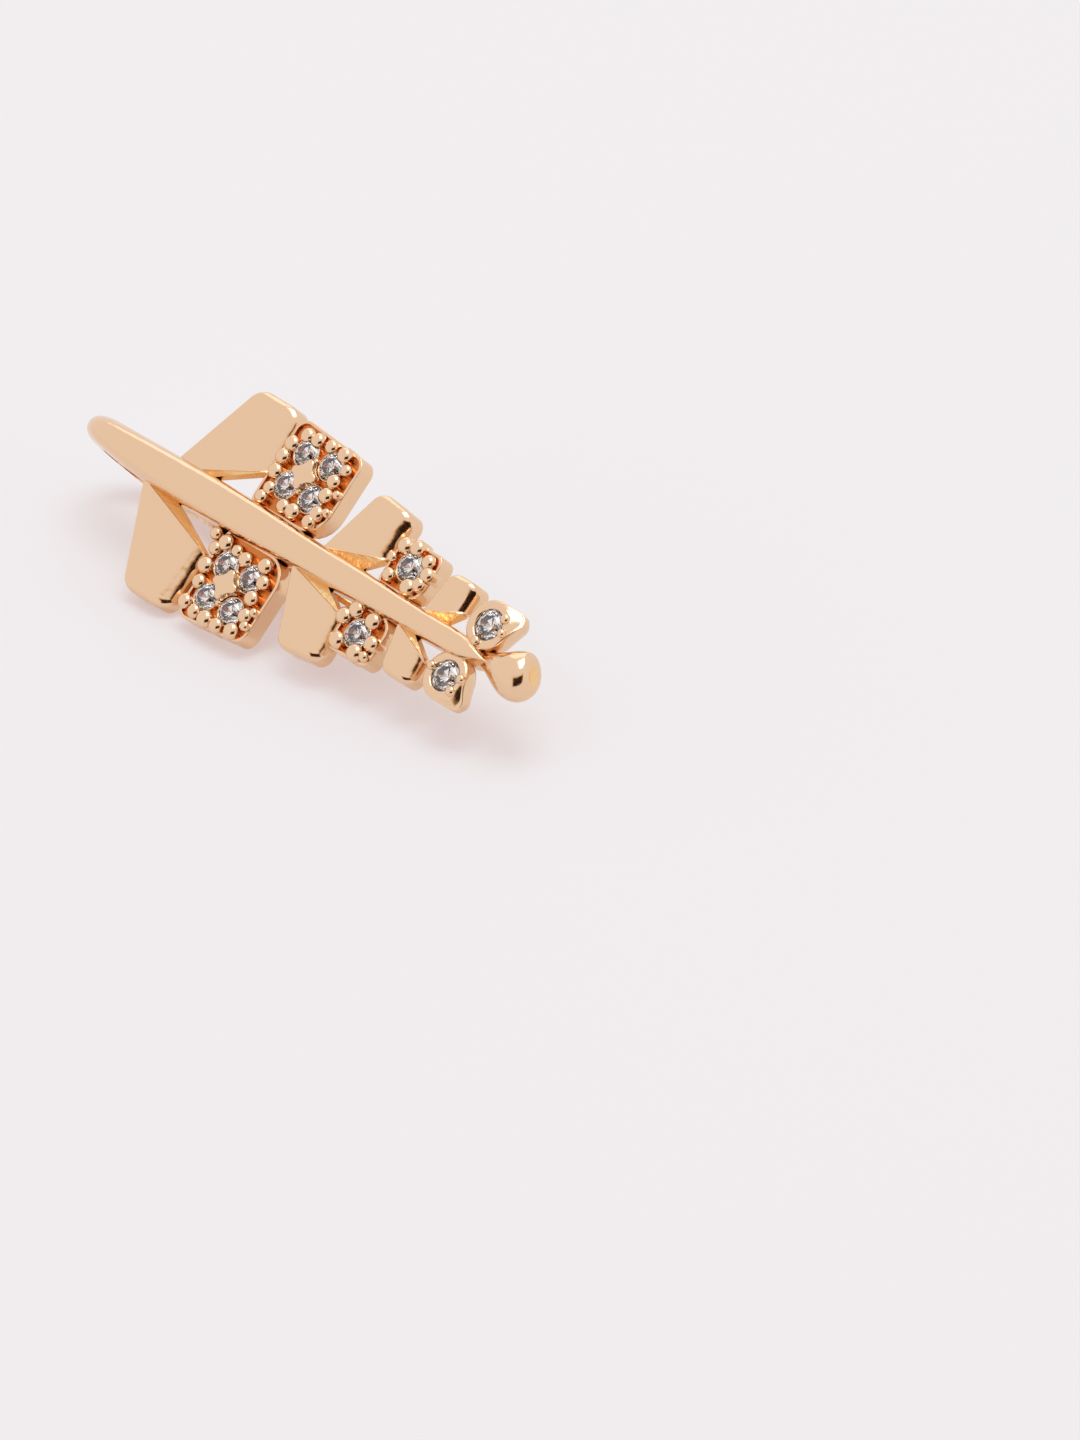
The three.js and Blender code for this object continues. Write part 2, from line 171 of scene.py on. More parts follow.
def finish_mesh(bm: BMesh, name: str, sharp: float = 0.0) -> Object:
    """Closes a piece: normals out, and into the part's frame.

    Args:
        bm: the piece in the leaf's frame; it is freed.
        name: name of the new object.
        sharp: edges that turn more than this many degrees stay sharp in a piece whose
            large faces set its shading; 0 leaves every facet flat.

    Returns:
        The object, at the origin and unturned, with its place in its mesh.
    """
    bmesh.ops.recalc_face_normals(bm, faces=bm.faces)
    bmesh.ops.transform(bm, matrix=LEAF, verts=bm.verts)
    piece = add_mesh(bm, name)
    if sharp:
        piece.data.shade_smooth()
        piece.data.set_sharp_from_angle(angle=math.radians(sharp))
        normals = piece.modifiers.new("flat_faces", "WEIGHTED_NORMAL")
        normals.weight = 60
        normals.keep_sharp = True
    return piece


@dataclass(frozen=True)
class Corner:
    """A corner of a leaflet's outline, and the edge that follows it."""

    x: float
    y: float
    radius: float  # rounding of the corner itself
    roll: float  # how far in the top edge is rounded, from here to the next
    fall: float | None = None  # and how far down, where that differs

    @property
    def drop(self) -> float:
        """How far down the top edge is rounded."""
        return self.roll if self.fall is None else self.fall


def offset_outline(
    corners: Sequence[Corner], cut: Callable[[float], float]
) -> list[tuple[Vector, float]]:
    """Draws an outline with rounded corners, each side moved in by its own amount.

    Args:
        corners: the corners, in order.
        cut: how far a side moves in, by the rounding of its top edge.

    Returns:
        The points in order, each with how far down the top edge is rounded there.
    """
    spots = [Vector((c.x, c.y)) for c in corners]
    centre = sum(spots, Vector((0.0, 0.0))) / len(spots)
    sides = []
    for start, end in zip(spots, [*spots[1:], spots[0]]):
        across = Vector((end.y - start.y, start.x - end.x)).normalized()
        sides.append(across if across.dot((start + end) / 2 - centre) > 0 else -across)
    points = []
    for k, (corner, spot) in enumerate(zip(corners, spots)):
        before, after = sides[k - 1], sides[k]
        rolls = corners[k - 1].roll, corner.roll
        rounded = corner.radius - (cut(rolls[0]) + cut(rolls[1])) / 2
        radius = max(rounded, corner.radius * LEAST_ROUNDING)
        inwards = Vector((-cut(rolls[0]) - radius, -cut(rolls[1]) - radius))
        middle = spot + Matrix((before, after)).inverted() @ inwards
        steps = CORNER_FACETS if corner.radius > 0 else 0
        for i in range(steps + 1):
            share = i / steps if steps else 0.5
            facing = (before * (1 - share) + after * share).normalized()
            drop = corners[k - 1].drop * (1 - share) + corner.drop * share
            points.append((middle + facing * radius, drop))
    return points


def lift(bm: BMesh, face: BMFace, keep: bool = False) -> tuple[BMFace, list[BMVert]]:
    """Extrudes one face in place.

    Args:
        bm: the mesh.
        face: the face.
        keep: whether the old face stays, as the underside of a new solid.

    Returns:
        The new face and its corners.
    """
    made = bmesh.ops.extrude_face_region(bm, geom=[face], use_keep_orig=keep)["geom"]
    if not keep and face.is_valid:
        bmesh.ops.delete(bm, geom=[face], context="FACES_ONLY")
    verts = [item for item in made if isinstance(item, BMVert)]
    return next(item for item in made if isinstance(item, BMFace)), verts


def raise_walls(bm: BMesh, corners: Sequence[Corner], top: float, steps: int) -> BMFace:
    """Adds an upright solid over an outline, each top edge rolled over by its own amount.

    Args:
        bm: an empty mesh.
        corners: the outline, in order.
        top: level of the upper face.
        steps: facets across a rolled edge.

    Returns:
        The upper face.
    """
    order = bm.verts.layers.int.new("order")
    foot = offset_outline(corners, lambda _: UNDER_CHAMFER)
    verts = [bm.verts.new((*spot, BACK)) for spot, _ in foot]
    for number, vert in enumerate(verts):
        vert[order] = number
    face = bm.faces.new(verts)
    rings = [(0.0, 0.0, BACK + UNDER_CHAMFER)]
    for k in range(steps + 1):
        turn = math.radians(90 * k / steps)
        rings.append((1 - math.cos(turn), 1 - math.sin(turn), top))
    for count, (inset, drop, level) in enumerate(rings):
        face, verts = lift(bm, face, keep=count == 0)
        points = offset_outline(corners, lambda roll, share=inset: roll * share)
        for vert in verts:
            spot, depth = points[vert[order]]
            vert.co = (*spot, level - drop * depth)
    return face


def bore(bm: BMesh, floor: BMFace, holes: Sequence[Vector], radius: float) -> None:
    """Bores round seats into a flat floor.

    Args:
        bm: the mesh.
        floor: the floor; it is drawn anew round the seats.
        holes: middles of the seats, at the floor's level.
        radius: radius of the seats.
    """
    rim = list(floor.edges)
    bmesh.ops.delete(bm, geom=[floor], context="FACES_ONLY")
    rings = []
    for hole in holes:
        made = bmesh.ops.create_circle(
            bm, cap_ends=False, radius=radius, segments=32, matrix=Matrix.Translation(hole)
        )
        rings.append(list(dict.fromkeys(e for vert in made["verts"] for e in vert.link_edges)))
    bmesh.ops.triangle_fill(
        bm, use_beauty=True, edges=rim + [edge for ring in rings for edge in ring],
        normal=(0.0, 0.0, 1.0),
    )
    for ring in rings:
        walls = bmesh.ops.extrude_edge_only(bm, edges=ring)["geom"]
        low = [item for item in walls if isinstance(item, BMVert)]
        bmesh.ops.translate(bm, verts=low, vec=(0.0, 0.0, POCKET_FLOOR - holes[0].z))
        ends = [item for item in walls if isinstance(item, BMEdge) and item.is_boundary]
        bmesh.ops.holes_fill(bm, edges=ends)


def spin_profile(
    bm: BMesh, points: Sequence[Spot], centre: Spot, axis: Spot, steps: int, closed: bool = False
) -> None:
    """Spins a profile through a full turn.

    Args:
        bm: mesh to add to.
        points: the profile, in order.
        centre: a point on the axis.
        axis: direction of the axis.
        steps: how many sides.
        closed: whether the last point joins up with the first.
    """
    verts = [bm.verts.new(point) for point in points]
    pairs = list(zip(verts, verts[1:])) + ([(verts[-1], verts[0])] if closed else [])
    edges = [bm.edges.new(pair) for pair in pairs]
    bmesh.ops.spin(
        bm, geom=verts + edges, cent=centre, axis=axis, dvec=(0, 0, 0),
        angle=2 * math.pi, steps=steps, use_merge=True,
    )
    bmesh.ops.remove_doubles(bm, verts=bm.verts, dist=SAME_SPOT)


def add_ring(bm: BMesh, points: Sequence[Vector]) -> list[BMVert]:
    """Adds a closed loop of edges through points.

    Args:
        bm: mesh to add to.
        points: the points, in order.

    Returns:
        The corners, in the order of the points: a circle's own come in any order.
    """
    sides = len(points)
    made = bmesh.ops.create_circle(bm, cap_ends=False, radius=1.0, segments=sides)
    turn = 2 * math.pi / sides
    ring = sorted(made["verts"], key=lambda v: round(math.atan2(-v.co.x, v.co.y) / turn) % sides)
    for vert, point in zip(ring, points):
        vert.co = point
    return ring


def skin_rings(bm: BMesh, rings: Sequence[list[BMVert]]) -> list[BMFace]:
    """Bridges each ring to the next and closes both ends.

    Args:
        bm: the mesh.
        rings: the corners of each ring, the same number in all.

    Returns:
        The faces that close the ends.
    """
    for near, far in zip(rings, rings[1:]):
        pairs = [pair for ring in (near, far) for pair in zip(ring, [*ring[1:], ring[0]])]
        bmesh.ops.bridge_loops(bm, edges=[bm.edges.get(pair) for pair in pairs])
    ends = [bmesh.ops.contextual_create(bm, geom=rings[end])["faces"] for end in (0, -1)]
    return [face for faces in ends for face in faces]


def turn_section(
    bm: BMesh, centre: Vector, section: Callable[[float], list[Point]], sides: int,
    heading: float = 0.0, sign: int = 1,
) -> None:
    """Adds a closed solid round an upright axis, with its own section at every angle.

    Args:
        bm: mesh to add to.
        centre: where the axis crosses level 0.
        section: gives how far out and at what level the points lie, by the angle.
        sides: how many sides.
        heading: direction of angle 0.
        sign: -1 mirrors the solid to the lower side.
    """
    turn = 2 * math.pi / sides
    columns = []
    for k in range(sides):
        aim = heading + turn * k
        out = Vector((math.cos(aim), sign * math.sin(aim), 0.0))
        places = section(turn * k)
        columns.append([centre + out * far + Vector((0.0, 0.0, level)) for far, level in places])
    skin_rings(bm, [add_ring(bm, points) for points in zip(*columns)])


def add_peg(bm: BMesh, x: float, y: float, radius: float, foot: float, top: float) -> None:
    """Adds an upright prong with a burnished head.

    Args:
        bm: mesh to add to.
        x: place along the leaf.
        y: place across the leaf.
        radius: radius of the prong.
        foot: level it starts from.
        top: level of its head.
    """
    middle = Matrix.Translation((x, y, (foot + top) / 2))
    made = bmesh.ops.create_cone(
        bm, cap_ends=True, segments=18, radius1=radius, radius2=radius,
        depth=top - foot, matrix=middle,
    )
    rim = [
        edge for edge in dict.fromkeys(e for v in made["verts"] for e in v.link_edges)
        if all(v.co.z > top - 0.01 for v in edge.verts)
    ]
    bmesh.ops.bevel(
        bm, geom=rim, offset=radius * PRONG_DOME, offset_type="OFFSET", segments=5,
        profile=0.5, affect="EDGES", material=-1, clamp_overlap=True,
    )


# ---------------------------------------------------------------- spine and hook
@dataclass(frozen=True)
class Station:
    """One cross-section of the spine and hook."""

    crown_x: float  # middle of the outer surface
    crown_z: float
    rim_x: float  # level of the two inner edges
    rim_z: float
    half_width: float
    square: float  # 2 is a half ellipse, larger is flatter on top
    channel: float  # depth of the hollow, as a share of the height
    lean: float = 0.0  # how far the strip sits to the upper side


@dataclass
class SpineAndHook:
    """The strip that is the leaf's spine, bends round and comes back as the hook."""

    steps: int = 6  # sections between two stations
    dome_steps: int = 32
    channel_steps: int = 16
    rim: float = 0.20
    rim_share: float = 0.26
    stations: tuple[tuple[float, ...], ...] = (  # each the values of one Station
        (28.05, 0.96, 28.00, BACK, 0.03, 2.2, 0),
        (27.70, 1.08, 27.65, BACK, 0.16, 2.4, 0),
        (26.90, 1.24, 26.90, BACK, 0.42, 4.0, 0),
        (25.90, 1.28, 25.90, BACK, 0.57, 5.0, 0),
        (23.60, 1.31, 23.60, BACK, 0.58, 5.0, 0),
        (20.00, 1.36, 20.00, BACK, 0.70, 5.0, 0),
        (16.00, 1.42, 16.00, BACK, 0.76, 5.0, 0),
        (12.50, 1.50, 12.50, BACK, 0.89, 5.0, 0),
        (9.50, 1.56, 9.50, BACK, 0.91, 5.0, 0),
        (6.80, 1.68, 6.70, BACK, 0.90, 4.5, 0),
        (4.80, 1.73, 4.70, -0.10, 0.86, 4.0, 0.10, 0.02),
        (3.15, 1.64, 3.30, 0.00, 0.80, 3.4, 0.25, 0.07),
        (1.80, 1.42, 2.30, 0.05, 0.74, 2.8, 0.35, 0.13),
        (0.72, 0.86, 1.55, -0.15, 0.71, 2.4, 0.42, 0.16),
        (0.02, 0.02, 1.00, -0.58, 0.71, 2.2, 0.45, 0.17),
        (-0.31, -1.00, 0.68, -1.18, 0.72, 2.2, 0.45, 0.15),
        (-0.31, -2.04, 0.66, -1.92, 0.74, 2.2, 0.45, 0.11),
        (0.04, -3.04, 0.98, -2.60, 0.77, 2.2, 0.45, 0.07),
        (0.80, -3.88, 1.62, -3.12, 0.82, 2.2, 0.45, 0.03),
        (2.00, -4.45, 2.45, -3.42, 0.86, 2.2, 0.48),
        (3.95, -4.68, 3.95, -3.48, 0.90, 2.2, 0.50),
        (6.60, -4.50, 6.40, -3.16, 0.93, 2.2, 0.50),
        (8.90, -4.07, 8.65, -2.72, 0.93, 2.2, 0.50),
        (11.20, -3.56, 11.00, -2.26, 0.93, 2.2, 0.48),
        (13.30, -3.32, 13.30, -2.10, 0.90, 2.2, 0.42),
        (14.90, -3.42, 15.05, -2.30, 0.88, 2.2, 0.28),
        (16.00, -3.94, 16.40, -2.82, 0.86, 2.2, 0.10),
        (17.05, -4.66, 17.45, -3.52, 0.84, 2.2, 0),
        (17.80, -4.68, 18.00, -3.94, 0.68, 2.2, 0),
        (18.22, -4.50, 18.30, -4.12, 0.36, 2.2, 0),
        (18.34, -4.38, 18.36, -4.24, 0.08, 2.2, 0),
    )

    def between(self, t: float) -> Station:
        """Reads the stations at any place on a smooth curve.

        Args:
            t: 0 at the first station, 1 at the last.

        Returns:
            The cross-section there.
        """
        last = len(self.stations) - 1
        i = min(int(t * last), last - 1)
        u = t * last - i
        near = [Station(*self.stations[min(max(k, 0), last)]) for k in range(i - 1, i + 3)]
        values = {}
        for column in fields(Station):
            a, b, c, d = (getattr(row, column.name) for row in near)
            bend = 2 * a - 5 * b + 4 * c - d + u * (3 * (b - c) + d - a)
            values[column.name] = b + 0.5 * u * (c - a + u * bend)
        values["channel"] = max(0.0, values["channel"])
        return Station(**values)

    def section(self, row: Station) -> list[Vector]:
        """Draws one cross-section.

        Args:
            row: its sizes.

        Returns:
            Points over the dome from rim to rim, then back through the channel.
        """
        rim = Vector((row.rim_x, 0.0, row.rim_z))
        rise = Vector((row.crown_x, 0.0, row.crown_z)) - rim
        power = 2 / row.square
        points = []
        for i in range(self.dome_steps + 1):
            angle = math.pi * i / self.dome_steps
            across = math.copysign(abs(math.cos(angle)) ** power, math.cos(angle))
            point = rim + rise * abs(math.sin(angle)) ** power
            points.append(point + Vector((0.0, row.lean + row.half_width * across, 0.0)))
        inner = row.half_width - min(self.rim, self.rim_share * row.half_width)
        for i in range(self.channel_steps + 1):
            angle = math.pi * (1 - i / self.channel_steps)
            point = rim + rise * (row.channel * math.sin(angle))
            points.append(point + Vector((0.0, row.lean + inner * math.cos(angle), 0.0)))
        return points

    def build(self) -> Object:
        """Bridges ring to ring along the strip and closes both ends.

        Returns:
            The piece.
        """
        bm = bmesh.new()
        count = self.steps * (len(self.stations) - 1)
        rings = [add_ring(bm, self.section(self.between(k / count))) for k in range(count + 1)]
        bmesh.ops.poke(bm, faces=skin_rings(bm, rings))
        # the channel takes the as-cast skin, whose amber is partly painted bounced light
        paint_within((vert for ring in rings for vert in ring[self.dome_steps + 1:]), Skin.CAST)
        piece = finish_mesh(bm, "spine_and_hook")
        piece.data.shade_smooth()
        piece.data.set_sharp_from_angle(angle=math.radians(50))
        return piece


# ---------------------------------------------------------------- leaflets
@dataclass
class Blade:
    """A plain leaflet: a polished face, and a facet as cast that falls to the spine."""

    name: str
    hook_root: Pair  # where the hook side leaves the spine
    face_root: Pair  # where the face ends at the spine
    step_root: Pair  # where the facet's low corner meets the spine
    root_reach: float  # how far out the last two are
    hook: Point  # outer corner towards the hook
    tip: Point  # outer corner towards the tip
    shoulder: Point  # inner corner towards the tip
    outer_radius: float
    shift: float  # how far up the leaf the upper one sits, the lower one down
    tip_roll: Pair  # rounding of the edge towards the tip, in
    tip_fall: Pair  # and down
    outer_roll: float
    step: Pair = (0.58, 0.58)  # level of the facet's low corner
    face: float = 1.00
    facet_drop: float = 0.03  # how far under the face the facet starts
    hollow: float = 0.40  # level of the underside beside the spine
    root_inset: float = 0.45
    shoulder_radius: float = 0.34
    fine_rolls: Spot = (0.07, 0.06, 0.05)  # hook side, two inner ones

    def build(self, side: Side) -> Object:
        """Makes the blade on one side.

        Args:
            side: which side of the leaf.

        Returns:
            The piece.
        """
        sign = side.value
        dx = sign * self.shift
        hook_root = (side.pick(self.hook_root), sign * self.root_inset)
        face_root = (side.pick(self.face_root), sign * self.root_reach)
        step_root = (side.pick(self.step_root), sign * self.root_reach)
        hook, tip, shoulder = ((x + dx, sign * y) for x, y in (self.hook, self.tip, self.shoulder))
        bm = bmesh.new()
        raise_walls(bm, [
            Corner(*hook_root, 0.0, self.fine_rolls[0]),
            Corner(*hook, self.outer_radius, self.outer_roll),
            Corner(*tip, self.outer_radius, side.pick(self.tip_roll), side.pick(self.tip_fall)),
            Corner(*shoulder, self.shoulder_radius, self.fine_rolls[1]),
            Corner(*face_root, 0.0, self.fine_rolls[2]),
        ], self.face, steps=10)
        self.undercut(bm, Vector((*face_root, 0.0)), Vector((*shoulder, 0.0)), sign)
        self.add_facet(bm, [face_root, shoulder, step_root], side.pick(self.step))
        return finish_mesh(bm, f"{self.name}_{side.letter}", sharp=40)

    def undercut(self, bm: BMesh, start: Vector, end: Vector, sign: int) -> None:
        """Cuts the underside away on a slant along the edge towards the spine.

        Args:
            bm: the blade.
            start: one end of that edge.
            end: its other end.
            sign: 1 on the upper side, -1 on the lower.
        """
        along = (end - start).normalized()
        outwards = Vector((-along.y, along.x, 0.0)) * sign
        slant = outwards + Vector((0.0, 0.0, BACK - self.hollow))
        normal = along.cross(slant).normalized()
        if normal.z > 0:
            normal = -normal
        cut = bmesh.ops.bisect_plane(
            bm, geom=[*bm.verts, *bm.edges, *bm.faces], dist=SAME_SPOT,
            plane_co=start + Vector((0.0, 0.0, self.hollow)), plane_no=normal,
            clear_outer=True,
        )
        rim = [item for item in cut["geom_cut"] if isinstance(item, BMEdge)]
        bmesh.ops.holes_fill(bm, edges=rim)

    def add_facet(self, bm: BMesh, corners: Sequence[Point], low: float) -> None:
        """Adds the three-cornered facet that falls from the face to the spine.

        Args:
            bm: the blade.
            corners: root of the face, shoulder, and low corner at the spine.
            low: level of that low corner.
        """
        under = bm.faces.new([bm.verts.new((*corner, self.hollow)) for corner in corners])
        start = self.face - self.facet_drop
        lows = {corners[0]: start, corners[1]: start, corners[2]: low}
        _, verts = lift(bm, under, keep=True)
        for vert in verts:
            near = min(corners, key=lambda c: (Vector(c) - vert.co.xy).length)
            vert.co.z = lows[near]
        # the facet takes the as-cast skin, whose amber is partly painted bounced light
        paint(faces_of(verts), Skin.CAST)


@dataclass
class StoneBlock:
    """A box-shaped leaflet: a thin-walled tray, a cup for each stone, and prongs."""

    name: str
    hook_x: Pair
    tip_x: float
    inner: float  # how far out its inner side lies
    hook_reach: float  # how far out its outer corner towards the hook lies
    tip_reach: float  # and the one towards the tip
    radius: float  # of the outer corners
    inner_hook: float  # radius of the inner corner towards the hook
    inner_tip: float  # and of the one towards the tip
    shift: float  # how far up the leaf the upper one sits, the lower one down
    centre: Point  # middle of the setting
    stone: Point  # diameter, level of the table
    stone_name: str
    stone_places: tuple[Point, ...]  # from the middle of the setting
    prong_table: dict[Side, tuple[Spot, ...]]
    boss_top: float = 0.0  # level of the boss between the stones, if there is one
    boss_reach: float = 0.74  # how far its corners reach
    boss_gap: float = 0.02  # how far it stays off the stones
    boss_sunk: float = 0.10  # how far under the floor it starts
    boss_edge: tuple[Point, ...] = ((0.0, 0.10), (0.03, 0.03), (0.10, 0.0))  # in, and down
    boss_shift: Point = (-0.06, -0.05)
    wall: float = 0.10
    rim: float = 0.80  # level of the tray's edge
    floor: float = 0.68  # level of the tray's floor
    ease: float = 0.04  # rounding of the edge
    lip: float = 0.09  # width of the lip round a stone
    lip_ease: float = 0.3  # share of it that is eased
    lip_sunk: float = 0.05  # how far under the floor it starts
    lip_top: float = 0.88
    clasp: float = 0.02  # how far the lip reaches over the stone
    prong_foot: float = 0.30
    prong_top: float = 1.17  # of a full prong; a thinner one is lower
    full_prong: float = 0.32
    prong_fall: float = 0.60  # how much lower, as a share of what it is thinner
    head_spread: float = 1.24  # burnishing spreads the prongs by this much

    def build(self, side: Side) -> Object:
        """Makes the block on one side.

        Args:
            side: which side of the leaf.

        Returns:
            The piece.
        """
        sign = side.value
        dx = sign * self.shift
        x, y = self.centre[0] + dx, self.centre[1]
        hook_x = side.pick(self.hook_x) + dx
        bm = bmesh.new()
        top = raise_walls(bm, [
            Corner(hook_x, sign * self.inner, self.inner_hook, self.ease),
            Corner(hook_x, sign * self.hook_reach, self.radius, self.ease),
            Corner(self.tip_x + dx, sign * self.tip_reach, self.radius, self.ease),
            Corner(self.tip_x + dx, sign * self.inner, self.inner_tip, self.ease),
        ], self.rim, steps=5)
        bmesh.ops.inset_region(bm, faces=[top], thickness=self.wall, use_even_offset=True)
        floor, verts = lift(bm, top)
        bmesh.ops.translate(bm, verts=verts, vec=(0.0, 0.0, self.floor - self.rim))
        # the tray's floor and inner walls take the painted pocket shade
        paint(faces_of(verts), Skin.POCKET_SHADE)
        spots = [
            Vector((x + along, sign * (y + out), self.floor)) for along, out in self.stone_places
        ]
        known = set(bm.faces)
        bore(bm, floor, spots, self.stone[0] / 2 - self.clasp / 2)
        # the seats bored round the stones take the painted pocket shade too
        paint((face for face in bm.faces if face not in known), Skin.POCKET_SHADE)
        for spot in spots:
            self.add_lip(bm, spot.x, spot.y)
        for along, out, radius in self.prong_table[side]:
            head = self.prong_top - (self.full_prong - radius) * self.prong_fall
            place = x + along, sign * (y + out)
            add_peg(bm, *place, radius * self.head_spread, self.prong_foot, head)
        if self.boss_top:
            along, out = self.boss_shift
            self.add_boss(bm, Vector((x + along, sign * (y + out), 0.0)))
        return finish_mesh(bm, f"{self.name}_{side.letter}", sharp=40)

    def add_lip(self, bm: BMesh, x: float, y: float) -> None:
        """Adds the low round lip that is pressed over the girdle of one stone.

        Args:
            bm: the block.
            x: middle of the stone.
            y: middle of the stone.
        """
        inner, ease = self.stone[0] / 2 - self.clasp, self.lip * self.lip_ease
        outer, foot, top = inner + self.lip, self.floor - self.lip_sunk, self.lip_top
        profile = [
            (outer, foot), (outer - ease * self.lip_ease, top - ease), (outer - ease, top),
            (inner + ease, top), (inner, top - ease), (inner, foot),
        ]
        points = [(x + out, y, level) for out, level in profile]
        spin_profile(bm, points, (x, y, 0), (0, 0, 1), steps=36, closed=True)

    def add_boss(self, bm: BMesh, centre: Vector) -> None:
        """Adds the flat boss that fills the hollow-sided square between four stones.

        Args:
            bm: the block.
            centre: middle of the boss.
        """
        far = math.hypot(*self.stone_places[0])
        near = self.stone[0] / 2 + self.boss_gap
        levels = [(0.0, self.floor - self.boss_sunk)]
        levels += [(inset, self.boss_top - down) for inset, down in self.boss_edge]

        def section(angle: float) -> list[Point]:
            """Draws the boss's section; the stones round it hollow its sides.

            Args:
                angle: direction from its middle.

            Returns:
                How far out each point lies, and at what level.
            """
            turn = math.remainder(angle - math.pi / 4, math.pi / 2)
            offset, reach = far * math.sin(turn), self.boss_reach
            if abs(offset) < near:
                reach = min(reach, far * math.cos(turn) - math.sqrt(near ** 2 - offset ** 2))
            return [(reach - inset, level) for inset, level in levels]

        turn_section(bm, centre, section, sides=48)


# Prongs: how far from the middle of the setting, along the leaf and outwards, and radius.
PAVE_PRONGS = {
    Side.UPPER: (
        (-1.24, 1.52, 0.30), (-0.59, 1.55, 0.30), (0.29, 1.60, 0.28), (1.19, 1.56, 0.32),
        (1.75, 1.02, 0.24), (1.47, 0.33, 0.30), (1.52, -0.36, 0.32), (1.64, -1.24, 0.32),
        (1.50, -1.74, 0.30), (0.38, -1.68, 0.34), (-0.24, -1.70, 0.30), (-1.50, -1.30, 0.28),
        (-1.65, -1.82, 0.28), (-1.76, -0.53, 0.32), (-1.86, 0.20, 0.32), (-1.78, 0.88, 0.32),
        (-0.01, 0.70, 0.13), (2.05, -0.10, 0.18), (2.08, -1.00, 0.18), (0.05, -0.80, 0.12),
    ),
    Side.LOWER: (
        (-2.30, -1.80, 0.26), (-1.50, -1.66, 0.34), (-1.88, -1.22, 0.28), (-0.67, -1.60, 0.26),
        (0.01, -1.46, 0.32), (1.18, -1.66, 0.34), (1.60, -0.98, 0.30), (1.50, -0.14, 0.32),
        (1.72, 0.65, 0.30), (1.50, 1.52, 0.32), (0.59, 1.66, 0.30), (-0.18, 1.66, 0.34),
        (-0.95, 1.62, 0.28), (-1.70, 1.45, 0.30), (-1.62, 0.40, 0.30), (-1.84, -0.36, 0.34),
        (0.02, 0.78, 0.13), (2.06, 0.35, 0.18), (2.02, 1.05, 0.20), (-0.02, -0.76, 0.12),
    ),
}
SOLO_PRONGS = {
    Side.UPPER: (
        (-0.82, 0.72, 0.33), (-0.14, 0.88, 0.32), (0.80, 0.58, 0.29), (1.12, 0.08, 0.30),
        (1.00, -0.46, 0.29), (0.56, -0.80, 0.35), (-0.74, -0.72, 0.28), (-1.10, 0.02, 0.20),
    ),
    Side.LOWER: (
        (-1.14, -0.38, 0.34), (-0.70, -0.90, 0.35), (0.44, -0.80, 0.35), (1.04, 0.06, 0.32),
        (0.48, 0.76, 0.34), (-0.76, 0.66, 0.34), (1.04, 0.70, 0.20),
    ),
}


